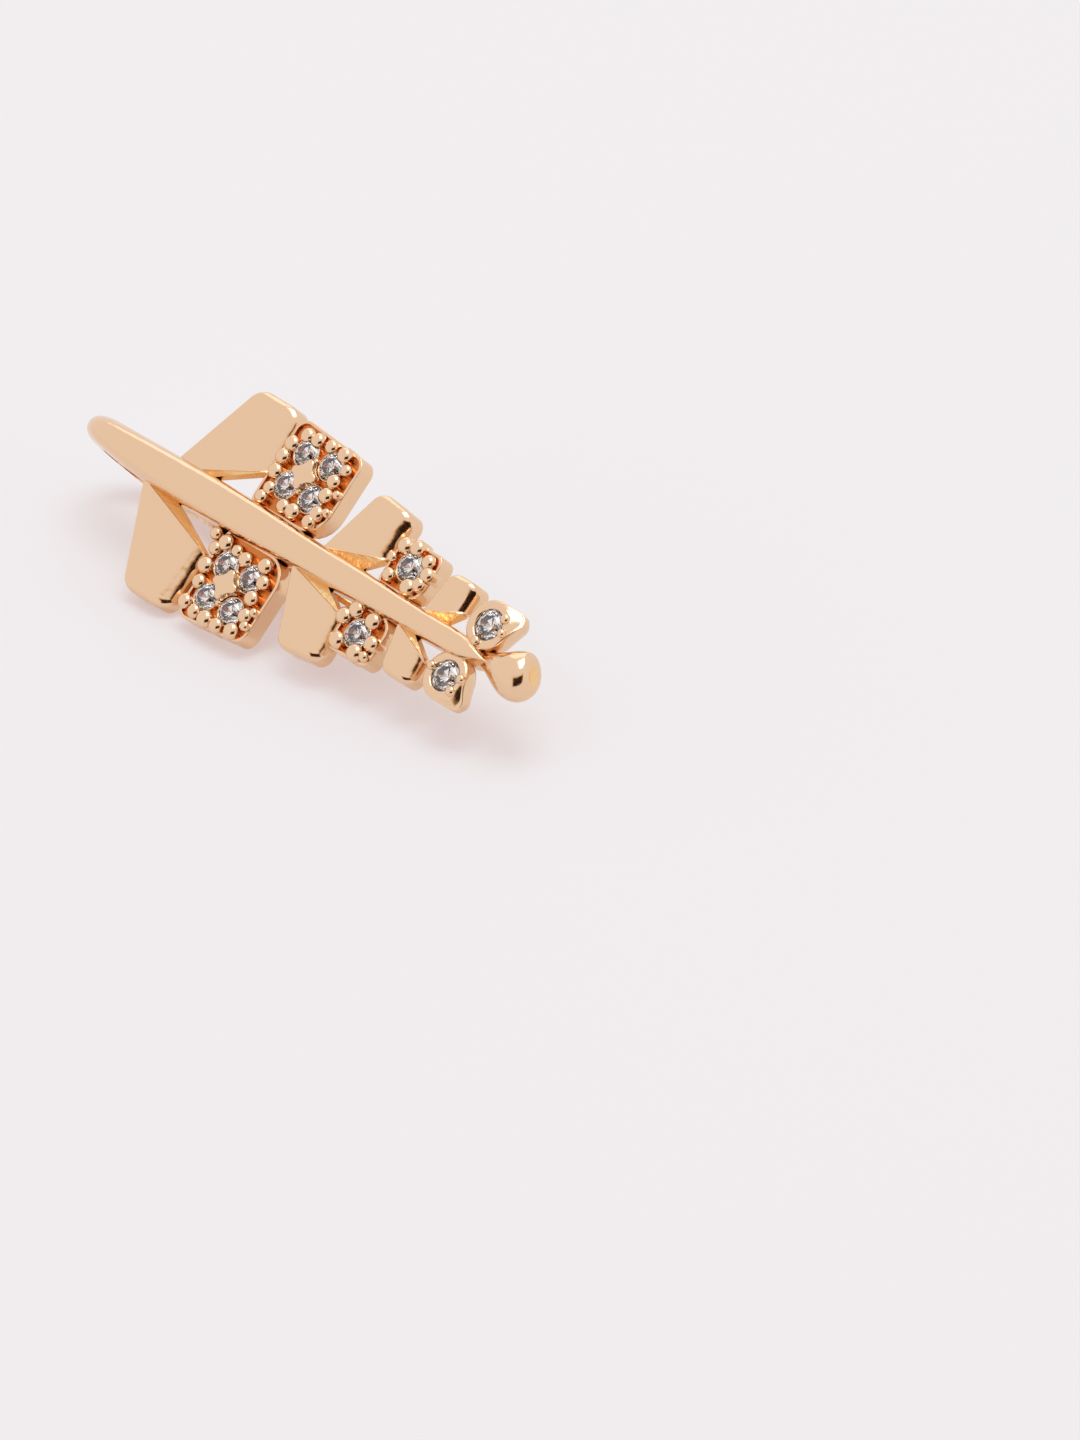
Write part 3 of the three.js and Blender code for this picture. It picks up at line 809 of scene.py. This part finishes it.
@dataclass
class Almond:
    """The leaflet beside the tip: a round cup on a petal that is drawn out and falls away."""

    centre: Point = (26.62, 1.40)  # middle of the cup
    stone: Point = (1.44, 1.14)  # diameter, level of the table
    stone_name: str = "leaf_stone"
    stone_places: tuple[Point, ...] = ((0.06, 0.0),)
    radius: float = 1.14  # of the cup
    bore: float = 0.70  # radius of the bore under the stone
    end: Point = (27.56, 2.08)  # middle of the rounding at the far end
    end_radius: float = 0.46
    shift: float = 0.26
    rim: float = 1.00  # level of the cup's edge
    petal_low: float = 0.60  # level of the petal's far end
    petal_bend: float = 1.3  # 1 is a straight fall to it
    petal_step: float = 0.02  # how far under the rim the petal starts
    petal_roll: float = 0.09  # rounding of its upper edge
    cup_edge: float = 0.16  # how far in the level top of the cup starts
    top_spread: float = 0.06  # how far its rings spread out from there
    belt: tuple[Point, ...] = ((0.34, 0.0), (0.20, 0.12), (0.04, 0.38))  # in, and up
    seat: tuple[Point, ...] = ((0.07, 0.01), (0.02, 0.04), (0.0, 0.10))  # out, and down
    prong_foot: float = 0.60
    prong_top: float = 1.17
    prong_table: dict[Side, tuple[Spot, ...]] = field(default_factory=lambda: {
        Side.UPPER: ((0.66, 0.55, 0.24), (0.92, -0.05, 0.20), (-0.08, -0.88, 0.24)),
        Side.LOWER: ((0.76, 0.46, 0.24), (0.90, -0.20, 0.22), (-0.88, -0.08, 0.22)),
    })

    def reach(self, angle: float) -> float:
        """Measures the petal's outline: a smooth belt round the cup and the far end.

        Args:
            angle: direction from the cup's middle, from the direction of the far end.

        Returns:
            The distance to the outline.
        """
        span = math.dist(self.end, self.centre)
        lean = math.acos((self.radius - self.end_radius) / span)
        touch = math.atan2(
            self.end_radius * math.sin(lean), span + self.end_radius * math.cos(lean)
        )
        turn = abs(math.remainder(angle, 2 * math.pi))
        if turn > lean:
            return self.radius
        if turn > touch:
            return self.radius / math.cos(lean - turn)
        offset = span * math.sin(turn)
        return span * math.cos(turn) + math.sqrt(self.end_radius ** 2 - offset ** 2)

    def section(self, angle: float) -> list[Point]:
        """Draws the section at an angle: up the edge, over the top and into the bore.

        Args:
            angle: direction from the cup's middle, from the direction of the far end.

        Returns:
            How far out each point lies, and at what level.
        """
        reach, cup, rim = self.reach(angle), self.radius, self.rim
        longest = math.dist(self.end, self.centre) + self.end_radius
        start = rim - self.petal_step
        edge = start + (self.petal_low - start) * (reach - cup) / (longest - cup)
        points = [(reach - inset, BACK + height) for inset, height in self.belt]
        for k in range(5):
            turn = math.radians(22.5 * k)
            inset, drop = 1 - math.cos(turn), 1 - math.sin(turn)
            points.append((reach - self.petal_roll * inset, edge - self.petal_roll * drop))
        drop = rim - edge if reach > cup + 0.01 else 0.0
        for share in (0.8, 0.6, 0.4, 0.2, 0.0):
            out = cup - self.cup_edge + (reach - cup + self.top_spread) * share
            points.append((out, rim - drop * share ** self.petal_bend))
        points += [(self.bore + out, rim - down) for out, down in self.seat]
        return [*points, (self.bore, POCKET_FLOOR)]

    def build(self, side: Side) -> Object:
        """Makes the leaflet on one side.

        Args:
            side: which side of the leaf.

        Returns:
            The piece.
        """
        sign = side.value
        x, y = self.centre
        centre = Vector((x + sign * self.shift, sign * y, 0.0))
        heading = math.atan2(self.end[1] - y, self.end[0] - x)
        bm = bmesh.new()
        turn_section(bm, centre, self.section, 72, heading, sign)
        for along, out, radius in self.prong_table[side]:
            place = centre.x + along, centre.y + sign * out
            add_peg(bm, *place, radius, self.prong_foot, self.prong_top)
        return finish_mesh(bm, f"almond_leaflet_{side.letter}", sharp=45)


@dataclass
class TipDrop:
    """The pebble at the very tip, on a short neck."""

    middle: float = 0.38  # level of its axis
    lean: float = 0.10  # how far it sits to the upper side
    profile: tuple[Point, ...] = (  # place along x, radius
        (26.80, 0.30), (27.30, 0.36), (27.64, 0.47), (27.93, 0.59), (28.24, 0.72),
        (28.55, 0.85), (28.85, 0.97), (29.15, 1.03), (29.45, 1.04), (29.74, 0.97),
        (30.00, 0.80), (30.18, 0.52),
    )
    widest: float = 29.20  # place of its fullest part
    swell: float = 0.24  # the far end is fuller on the upper side, by a share
    press: float = 0.14  # and flatter in front
    swell_from: float = 28.30
    swell_over: float = 1.20
    blunt_from: float = 0.84  # the end is blunt this far from the fullest part
    bluntness: float = 0.62  # share of what is proud of that which is pressed back
    scar_aim: Spot = (0.84, 0.54, -0.04)
    scar_out: float = 0.94  # how far out the middle of the scar lies
    scar_radius: float = 0.58
    scar_depth: float = 0.26

    def build(self) -> Object:
        """Spins the pebble about the spine's axis and dents it where it was cut off.

        Returns:
            The piece.
        """
        bm = bmesh.new()
        outline = [(self.profile[0][0], 0.0), *self.profile, (self.profile[-1][0] + 0.03, 0.0)]
        points = [(x, 0.0, radius) for x, radius in outline]
        spin_profile(bm, points, (0, 0, 0), (1, 0, 0), steps=56)
        aim = Vector(self.scar_aim).normalized()
        middle = Vector((self.widest, 0.0, 0.0))
        scar = middle + aim * self.scar_out
        for vert in bm.verts:
            share = min(max((vert.co.x - self.swell_from) / self.swell_over, 0.0), 1.0)
            if vert.co.y > 0:
                vert.co.y *= 1 + self.swell * share
            if vert.co.z > 0:
                vert.co.z *= 1 - self.press * share
            proud = max(0.0, (vert.co - middle).dot(aim) - self.blunt_from)
            vert.co -= aim * proud * self.bluntness
            depth = max(0.0, 1 - (vert.co - scar).length / self.scar_radius)
            vert.co -= aim * self.scar_depth * depth
        # the scar takes the as-cast skin, whose amber is partly painted bounced light
        paint_within((v for v in bm.verts if (v.co - scar).length < self.scar_radius), Skin.CAST)
        bmesh.ops.translate(bm, verts=bm.verts, vec=(0.0, self.lean, self.middle))
        piece = finish_mesh(bm, "tip_drop")
        piece.data.shade_smooth()
        smooth = piece.modifiers.new("smooth_pebble", "SUBSURF")
        smooth.levels = 2
        smooth.render_levels = 2
        return piece


# ---------------------------------------------------------------- stones
@dataclass
class RoundStone:
    """A round brilliant-cut stone."""

    node: str
    diameter: float
    table_level: float
    x: float
    y: float
    table: float = 0.56  # shares of the diameter
    crown: float = 0.17
    crown_break: float = 0.46  # how far down the crown its middle ring lies
    star: float = 0.80  # and how far out
    girdle: float = 0.05
    pavilion: float = 0.48
    pavilion_break: float = 0.24  # how far down the pavilion its ring lies
    pavilion_ring: float = 0.80  # and how far out

    def build(self) -> Object:
        """Stretches flat facets over the rings of corners of the cut.

        Returns:
            The piece.
        """
        half = self.diameter / 2
        girdle_top = self.table_level - self.crown * self.diameter
        middle = self.table_level - self.crown * self.diameter * self.crown_break
        girdle_low = girdle_top - self.girdle * self.diameter
        lower = girdle_low - self.pavilion * self.diameter * self.pavilion_break
        culet = girdle_low - self.pavilion * self.diameter
        rings = [  # corners, radius, level, share of a facet that it is turned
            (8, self.table * half, self.table_level, 0.0),
            (8, self.star * half, middle, 0.5),
            (16, half, girdle_top, 0.0),
            (16, half, girdle_low, 0.0),
            (8, half * self.pavilion_ring, lower, 0.5),
        ]
        bm = bmesh.new()
        for count, radius, level, turn in rings:
            place = Matrix.Translation((self.x, self.y, level))
            spin = Matrix.Rotation(turn * 2 * math.pi / count, 4, "Z")
            bmesh.ops.create_circle(
                bm, cap_ends=False, radius=radius, segments=count, matrix=place @ spin
            )
        bm.verts.new((self.x, self.y, culet))
        bmesh.ops.delete(bm, geom=list(bm.edges), context="EDGES_FACES")
        bmesh.ops.convex_hull(bm, input=bm.verts)
        return finish_mesh(bm, f"cut_{self.node}")


# ---------------------------------------------------------------- materials
def linear(code: str) -> tuple[float, float, float, float]:
    """Turns an sRGB hex colour to linear values.

    Args:
        code: six hex digits.

    Returns:
        Red, green, blue and full alpha.
    """
    channels = [int(code[i:i + 2], 16) / 255 for i in (0, 2, 4)]
    red, green, blue = (
        c / 12.92 if c <= 0.04045 else ((c + 0.055) / 1.055) ** 2.4 for c in channels
    )
    return red, green, blue, 1.0


def add_node(
    tree: NodeTree,
    kind: str,
    settings: dict[str, object] | None = None,
    values: dict[str | int, object] | None = None,
    links: dict[str | int, NodeSocket] | None = None,
) -> Node:
    """Adds one node with its settings, socket values and incoming links.

    Args:
        tree: the node tree.
        kind: the node's type name.
        settings: properties of the node itself.
        values: values of its input sockets.
        links: output sockets of other nodes, by input socket.

    Returns:
        The node.
    """
    node = tree.nodes.new(kind)
    for key, value in (settings or {}).items():
        setattr(node, key, value)
    for key, value in (values or {}).items():
        node.inputs[key].default_value = value
    for key, source in (links or {}).items():
        tree.links.new(source, node.inputs[key])
    return node


def add_relief(
    tree: NodeTree, place: Node, spacing_mm: float, height_um: float, strength: float,
    detail: float, roughness: float = 0.5, under: dict[str, NodeSocket] | None = None,
) -> tuple[Node, Node]:
    """Adds an uneven surface.

    Args:
        tree: the material's nodes.
        place: the texture coordinates.
        spacing_mm: how far apart the marks lie.
        height_um: how high they stand.
        strength: how much of their slope shows.
        detail: how much finer marks lie in them.
        roughness: how strong the finer marks are.
        under: the relief that this one lies on.

    Returns:
        The pattern and the relief.
    """
    noise = add_node(
        tree, "ShaderNodeTexNoise",
        values={"Scale": 1 / (spacing_mm * MM), "Detail": detail, "Roughness": roughness},
        links={"Vector": place.outputs["Object"]},
    )
    bump = add_node(
        tree, "ShaderNodeBump", values={"Strength": strength, "Distance": height_um * MICRON},
        links={"Height": noise.outputs["Fac"], **(under or {})},
    )
    return noise, bump


class Finish:
    """What every finish shares: a material with one surface, made of its own nodes."""

    name: str

    def shader(self, tree: NodeTree) -> Node:
        """Adds the finish's nodes and gives back its shader."""
        raise NotImplementedError

    def make(self) -> Material:
        """Builds the material.

        Returns:
            The material.
        """
        material = bpy.data.materials.new(self.name)
        material.use_nodes = True
        tree = material.node_tree
        tree.nodes.clear()
        surface = self.shader(tree).outputs["BSDF"]
        add_node(tree, "ShaderNodeOutputMaterial", links={"Surface": surface})
        return material


@dataclass(frozen=True)
class PlatedMetal(Finish):
    """Brass, cast, polished and plated with rose gold."""

    name: str
    colour: str
    roughness: float
    roughness_spread: float
    wave_mm: float  # spacing of the low waves that polishing leaves
    wave_height_um: float
    grain_mm: float  # spacing of the finer marks
    grain_height_um: float

    def shader(self, tree: NodeTree) -> Node:
        """Adds low waves and finer marks, which also spread the roughness.

        Args:
            tree: the material's nodes.

        Returns:
            The shader.
        """
        place = add_node(tree, "ShaderNodeTexCoord")
        _, waves = add_relief(
            tree, place, self.wave_mm, self.wave_height_um, strength=1.0, detail=1.0
        )
        grain, relief = add_relief(
            tree, place, self.grain_mm, self.grain_height_um, strength=1.0, detail=3.0,
            roughness=0.6, under={"Normal": waves.outputs["Normal"]},
        )
        sheen = add_node(
            tree, "ShaderNodeMapRange",
            values={
                "From Min": 0.3, "From Max": 0.7,  # the marks keep mostly between these
                "To Min": self.roughness - self.roughness_spread,
                "To Max": self.roughness + self.roughness_spread,
            },
            links={"Value": grain.outputs["Fac"]},
        )
        return add_node(
            tree, "ShaderNodeBsdfPrincipled",
            values={"Base Color": linear(self.colour), "Metallic": 1.0},
            links={"Roughness": sheen.outputs["Result"], "Normal": relief.outputs["Normal"]},
        )


@dataclass(frozen=True)
class CutStone(Finish):
    """Cubic zirconia, cut and polished: it bends light more than glass does."""

    name: str = "cubic_zirconia_polished"
    colour: str = "FFFCFA"
    ior: float = 2.16
    roughness: float = 0.0

    def shader(self, tree: NodeTree) -> Node:
        """Adds a clear shader.

        Args:
            tree: the material's nodes.

        Returns:
            The shader.
        """
        return add_node(
            tree, "ShaderNodeBsdfPrincipled",
            values={
                "Base Color": linear(self.colour), "IOR": self.ior,
                "Roughness": self.roughness, "Transmission Weight": 1.0,
            },
        )


@dataclass(frozen=True)
class PaintedGlowCard(Finish):
    """Matte card under the earring; it glows faint pink though no lamp lights it, painted light
    that keeps its shadows faint and warm.
    """

    name: str = "matte_card_painted_glow"
    # the blue-grey colour and the pink painted glow add up to a neutral pale card where it is lit;
    # in shadow the glow is left, so the shadows come out painted pink
    colour: str = "97ADB0"
    glow: str = "BDA3A1"
    roughness: float = 0.85
    tooth_mm: float = 0.4  # spacing of its fine tooth
    tooth_height_um: float = 4.0

    def shader(self, tree: NodeTree) -> Node:
        """Adds a faint tooth and the painted pink glow that lightens and warms the shadows.

        Args:
            tree: the material's nodes.

        Returns:
            The shader.
        """
        place = add_node(tree, "ShaderNodeTexCoord")
        _, tooth = add_relief(
            tree, place, self.tooth_mm, self.tooth_height_um, strength=0.4, detail=2.0
        )
        return add_node(
            tree, "ShaderNodeBsdfPrincipled",
            values={
                "Base Color": linear(self.colour), "Roughness": self.roughness,
                "Specular IOR Level": 0.2, "Emission Color": linear(self.glow),
                "Emission Strength": 1.0,
            },
            links={"Normal": tooth.outputs["Normal"]},
        )


# The faces of the leaf are buffed: they mirror the light tent with a faint haze.
BUFFED = PlatedMetal("rose_gold_plate_buffed", "EFCCA7", 0.15, 0.04, 0.55, 24.0, 0.12, 0.25)
# Facets, the channel and the scar at the tip are plated as cast and granular; their warm, bright
# amber colour is partly painted light, the glow of light bounced in hollows.
AS_CAST_BOUNCE_TINTED = PlatedMetal("rose_gold_plate_as_cast_bounce_tinted", "F5CB90", 0.22, 0.06, 0.45, 34.0, 0.16, 14.0)
# Between the prongs the plate is rougher, and painted darker and redder: painted shade and bounced
# light of the hollows.
POCKET_SHADE = PlatedMetal("rose_gold_plate_painted_pocket_shade", "D6803F", 0.26, 0.06, 0.45, 30.0, 0.14, 10.0)


# ---------------------------------------------------------------- the earring
@dataclass
class Earring:
    """All the pieces of the earring."""

    blades: tuple[Blade, ...] = (
        Blade(
            "hook_blade", (6.48, 5.32), (8.20, 6.05), (8.85, 7.60), 0.85,
            (8.24, 5.36), (10.88, 5.30), (11.15, 2.20),
            outer_radius=0.80, shift=0.30, tip_roll=(1.25, 1.36), tip_fall=(0.50, 0.98),
            outer_roll=0.36, step=(0.82, 0.62),
        ),
        Blade(
            "middle_blade", (16.55, 15.55), (16.85, 16.00), (18.93, 17.95), 0.70,
            (17.62, 4.08), (19.90, 3.80), (19.78, 1.50),
            outer_radius=0.60, shift=0.18, tip_roll=(0.86, 0.92), tip_fall=(0.80, 0.86),
            outer_roll=0.36, step=(0.58, 0.80),
        ),
        Blade(
            "tip_blade", (23.35, 22.55), (23.50, 22.72), (24.63, 23.58), 0.52,
            (23.40, 2.64), (25.05, 2.62), (25.00, 1.20),
            outer_radius=0.46, shift=0.27, tip_roll=(0.76, 0.80), tip_fall=(0.72, 0.78),
            outer_roll=0.34, step=(0.58, 0.84),
        ),
    )
    blocks: tuple[StoneBlock, ...] = (
        StoneBlock(
            "pave_block", (11.15, 11.42), 15.72, 0.75, 5.20, 4.82, 0.62, 0.37, 1.35, 0.20,
            (13.40, 3.00), (1.30, 1.09), "pave_stone",
            ((-0.83, 0.83), (0.83, 0.83), (-0.83, -0.83), (0.83, -0.83)), PAVE_PRONGS,
            boss_top=1.22,
        ),
        StoneBlock(
            "solo_block", (19.85, 19.85), 22.50, 0.55, 2.96, 2.90, 0.46, 0.28, 0.80, 0.24,
            (21.12, 1.80), (1.32, 1.09), "block_stone", ((0.0, 0.0),), SOLO_PRONGS,
        ),
    )
    almond: Almond = field(default_factory=Almond)

    def stones(self, side: Side) -> list[RoundStone]:
        """Lists the stones of one side.

        Args:
            side: which side of the leaf.

        Returns:
            Four stones of the square, the single one and the one in the cup.
        """
        made = []
        for leaflet in (*self.blocks, self.almond):
            for number, (along, out) in enumerate(leaflet.stone_places, 1):
                x = leaflet.centre[0] + along + side.value * leaflet.shift
                y = side.value * (leaflet.centre[1] + out)
                node = f"{leaflet.stone_name}_{side.letter}"
                node += str(number) if len(leaflet.stone_places) > 1 else ""
                made.append(RoundStone(node, *leaflet.stone, x, y))
        return made

    def settle(
        self, piece: Object, nodes: Sequence[str], materials: Sequence[Material]
    ) -> None:
        """Dresses a piece and ties it to the CAD model.

        Args:
            piece: the piece.
            nodes: the CAD nodes it stands for.
            materials: its materials, in the order of its faces' indices.
        """
        for material in materials:
            piece.data.materials.append(material)
        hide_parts(*nodes)
        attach(piece, "root")
        LOG.info("%s: %d faces", piece.name, len(piece.data.polygons))

    def build(self) -> None:
        """Makes and dresses every piece."""
        metal = [BUFFED.make(), AS_CAST_BOUNCE_TINTED.make(), POCKET_SHADE.make()]
        crystal = [CutStone().make()]
        pieces = [SpineAndHook().build(), TipDrop().build()]
        for side in Side:
            pieces += [part.build(side) for part in (*self.blades, *self.blocks, self.almond)]
        for piece in pieces:
            self.settle(piece, [CASTING], metal)
        for side in Side:
            for stone in self.stones(side):
                self.settle(stone.build(), [stone.node], crystal)


# ---------------------------------------------------------------- studio
@dataclass(frozen=True)
class Softbox:
    """A square softbox that faces the earring."""

    name: str
    direction: Spot  # from the earring to the softbox
    distance: float  # in metres
    side: float  # in metres
    radiance: float  # how bright its face looks

    def hang(self) -> None:
        """Hangs it in the scene."""
        lamp = bpy.data.lights.new(self.name, "AREA")
        lamp.shape = "SQUARE"
        lamp.size = self.side
        lamp.energy = self.radiance * math.pi * self.side * self.side
        holder = add_object(self.name, lamp)
        way = Vector(self.direction).normalized()
        holder.location = way * self.distance
        holder.rotation_euler = way.to_track_quat("Z", "Y").to_euler()


@dataclass
class Studio:
    """A pale card, a light tent and the camera that looks in through its opening."""

    target_mm: Spot = (12.669, 2.839, -0.272)
    distance_mm: float = 300.33
    azimuth: float = 48.907
    elevation: float = 31.171
    roll: float = -0.931
    lens: float = 175.0
    floor_side: float = 4.0
    tent_colour: str = "F6F3F6"
    edge_colour: str = "EBC08A"  # round the opening the cloth is lit warm
    dark_colour: str = "2A1408"  # the dark room behind the opening
    tent_strength: float = 0.99
    opening_half_width: float = 0.56  # sine of half its angle, seen from the earring
    opening_top: float = 0.68  # sine of the elevation of its upper edge
    softboxes: tuple[Softbox, ...] = (
        Softbox("softbox_overhead", (0.05, 0.10, 1.0), 0.7, 0.42, 2.8),
        Softbox("softbox_left_back", (-0.75, 0.55, 0.85), 0.7, 0.40, 0.5),
    )

    def add_floor(self) -> None:
        """Lays the card."""
        bm = bmesh.new()
        bmesh.ops.create_grid(bm, x_segments=1, y_segments=1, size=self.floor_side / 2)
        floor = add_mesh(bm, "studio_card")
        # the card's material glows: painted light that lightens and warms the shadows on it
        floor.data.materials.append(PaintedGlowCard().make())

    def add_tent(self) -> None:
        """Lights the scene from all round, but for the opening round the lens."""
        world = bpy.data.worlds.new("light_tent")
        world.use_nodes = True
        tree = world.node_tree
        tree.nodes.clear()
        place = add_node(tree, "ShaderNodeTexCoord")
        azimuth = math.radians(self.azimuth)
        side = -self.opening_half_width
        edges = [  # the way to the opening past each of its edges, the edge and its blur
            ((math.sin(azimuth), -math.cos(azimuth), 0.0), -0.05, 0.25),
            ((math.cos(azimuth), math.sin(azimuth), 0.0), side, 0.14),
            ((-math.cos(azimuth), -math.sin(azimuth), 0.0), side, 0.14),
            ((0.0, 0.0, -1.0), -self.opening_top, 0.12),
        ]
        opening = {}
        for aim, edge, blur in edges:
            facing = add_node(
                tree, "ShaderNodeVectorMath", {"operation": "DOT_PRODUCT"},
                values={1: aim}, links={0: place.outputs["Generated"]},
            )
            inside = add_node(
                tree, "ShaderNodeMapRange", {"interpolation_type": "SMOOTHSTEP"},
                values={"From Min": edge, "From Max": edge + blur},
                links={"Value": facing.outputs["Value"]},
            )
            both = add_node(
                tree, "ShaderNodeMath", {"operation": "MULTIPLY"}, values={0: 1.0},
                links={1: inside.outputs["Result"], **opening},
            )
            opening = {0: both.outputs["Value"]}
        shade = {}
        for start, colour in ((0.0, self.edge_colour), (0.5, self.dark_colour)):
            share = add_node(
                tree, "ShaderNodeMapRange", values={"From Min": start, "From Max": start + 0.5},
                links={"Value": opening[0]},
            )
            blend = add_node(
                tree, "ShaderNodeMix", {"data_type": "RGBA"},
                values={6: linear(self.tent_colour), 7: linear(colour)},
                links={0: share.outputs["Result"], **shade},
            )
            shade = {6: blend.outputs[2]}
        light = add_node(
            tree, "ShaderNodeBackground", values={"Strength": self.tent_strength},
            links={"Color": shade[6]},
        )
        add_node(tree, "ShaderNodeOutputWorld", links={"Surface": light.outputs["Background"]})
        bpy.context.scene.world = world

    def add_camera(self) -> None:
        """Sets the camera up."""
        lens = bpy.data.cameras.new("studio_camera")
        lens.lens = self.lens
        lens.sensor_width = 36.0
        lens.clip_start = 0.01
        holder = add_object("studio_camera", lens)
        azimuth, elevation = math.radians(self.azimuth), math.radians(self.elevation)
        level = math.cos(elevation)
        back = Vector((
            math.sin(azimuth) * level, -math.cos(azimuth) * level, math.sin(elevation)
        ))
        upright = back.to_track_quat("Z", "Y").to_matrix().to_4x4()
        turn = upright @ Matrix.Rotation(math.radians(self.roll), 4, "Z")
        spot = (Vector(self.target_mm) + back * self.distance_mm) * MM
        holder.matrix_world = Matrix.Translation(spot) @ turn
        bpy.context.scene.camera = holder

    def build(self) -> None:
        """Sets up the floor, the lights and the camera."""
        self.add_floor()
        self.add_tent()
        for softbox in self.softboxes:
            softbox.hang()
        self.add_camera()
        bpy.context.scene.view_settings.view_transform = "Standard"


def main() -> None:
    """Builds the studio and the earring."""
    logging.basicConfig(level=logging.INFO, format="%(name)s: %(message)s")
    Studio().build()
    Earring().build()


if __name__ == "__main__":
    main()
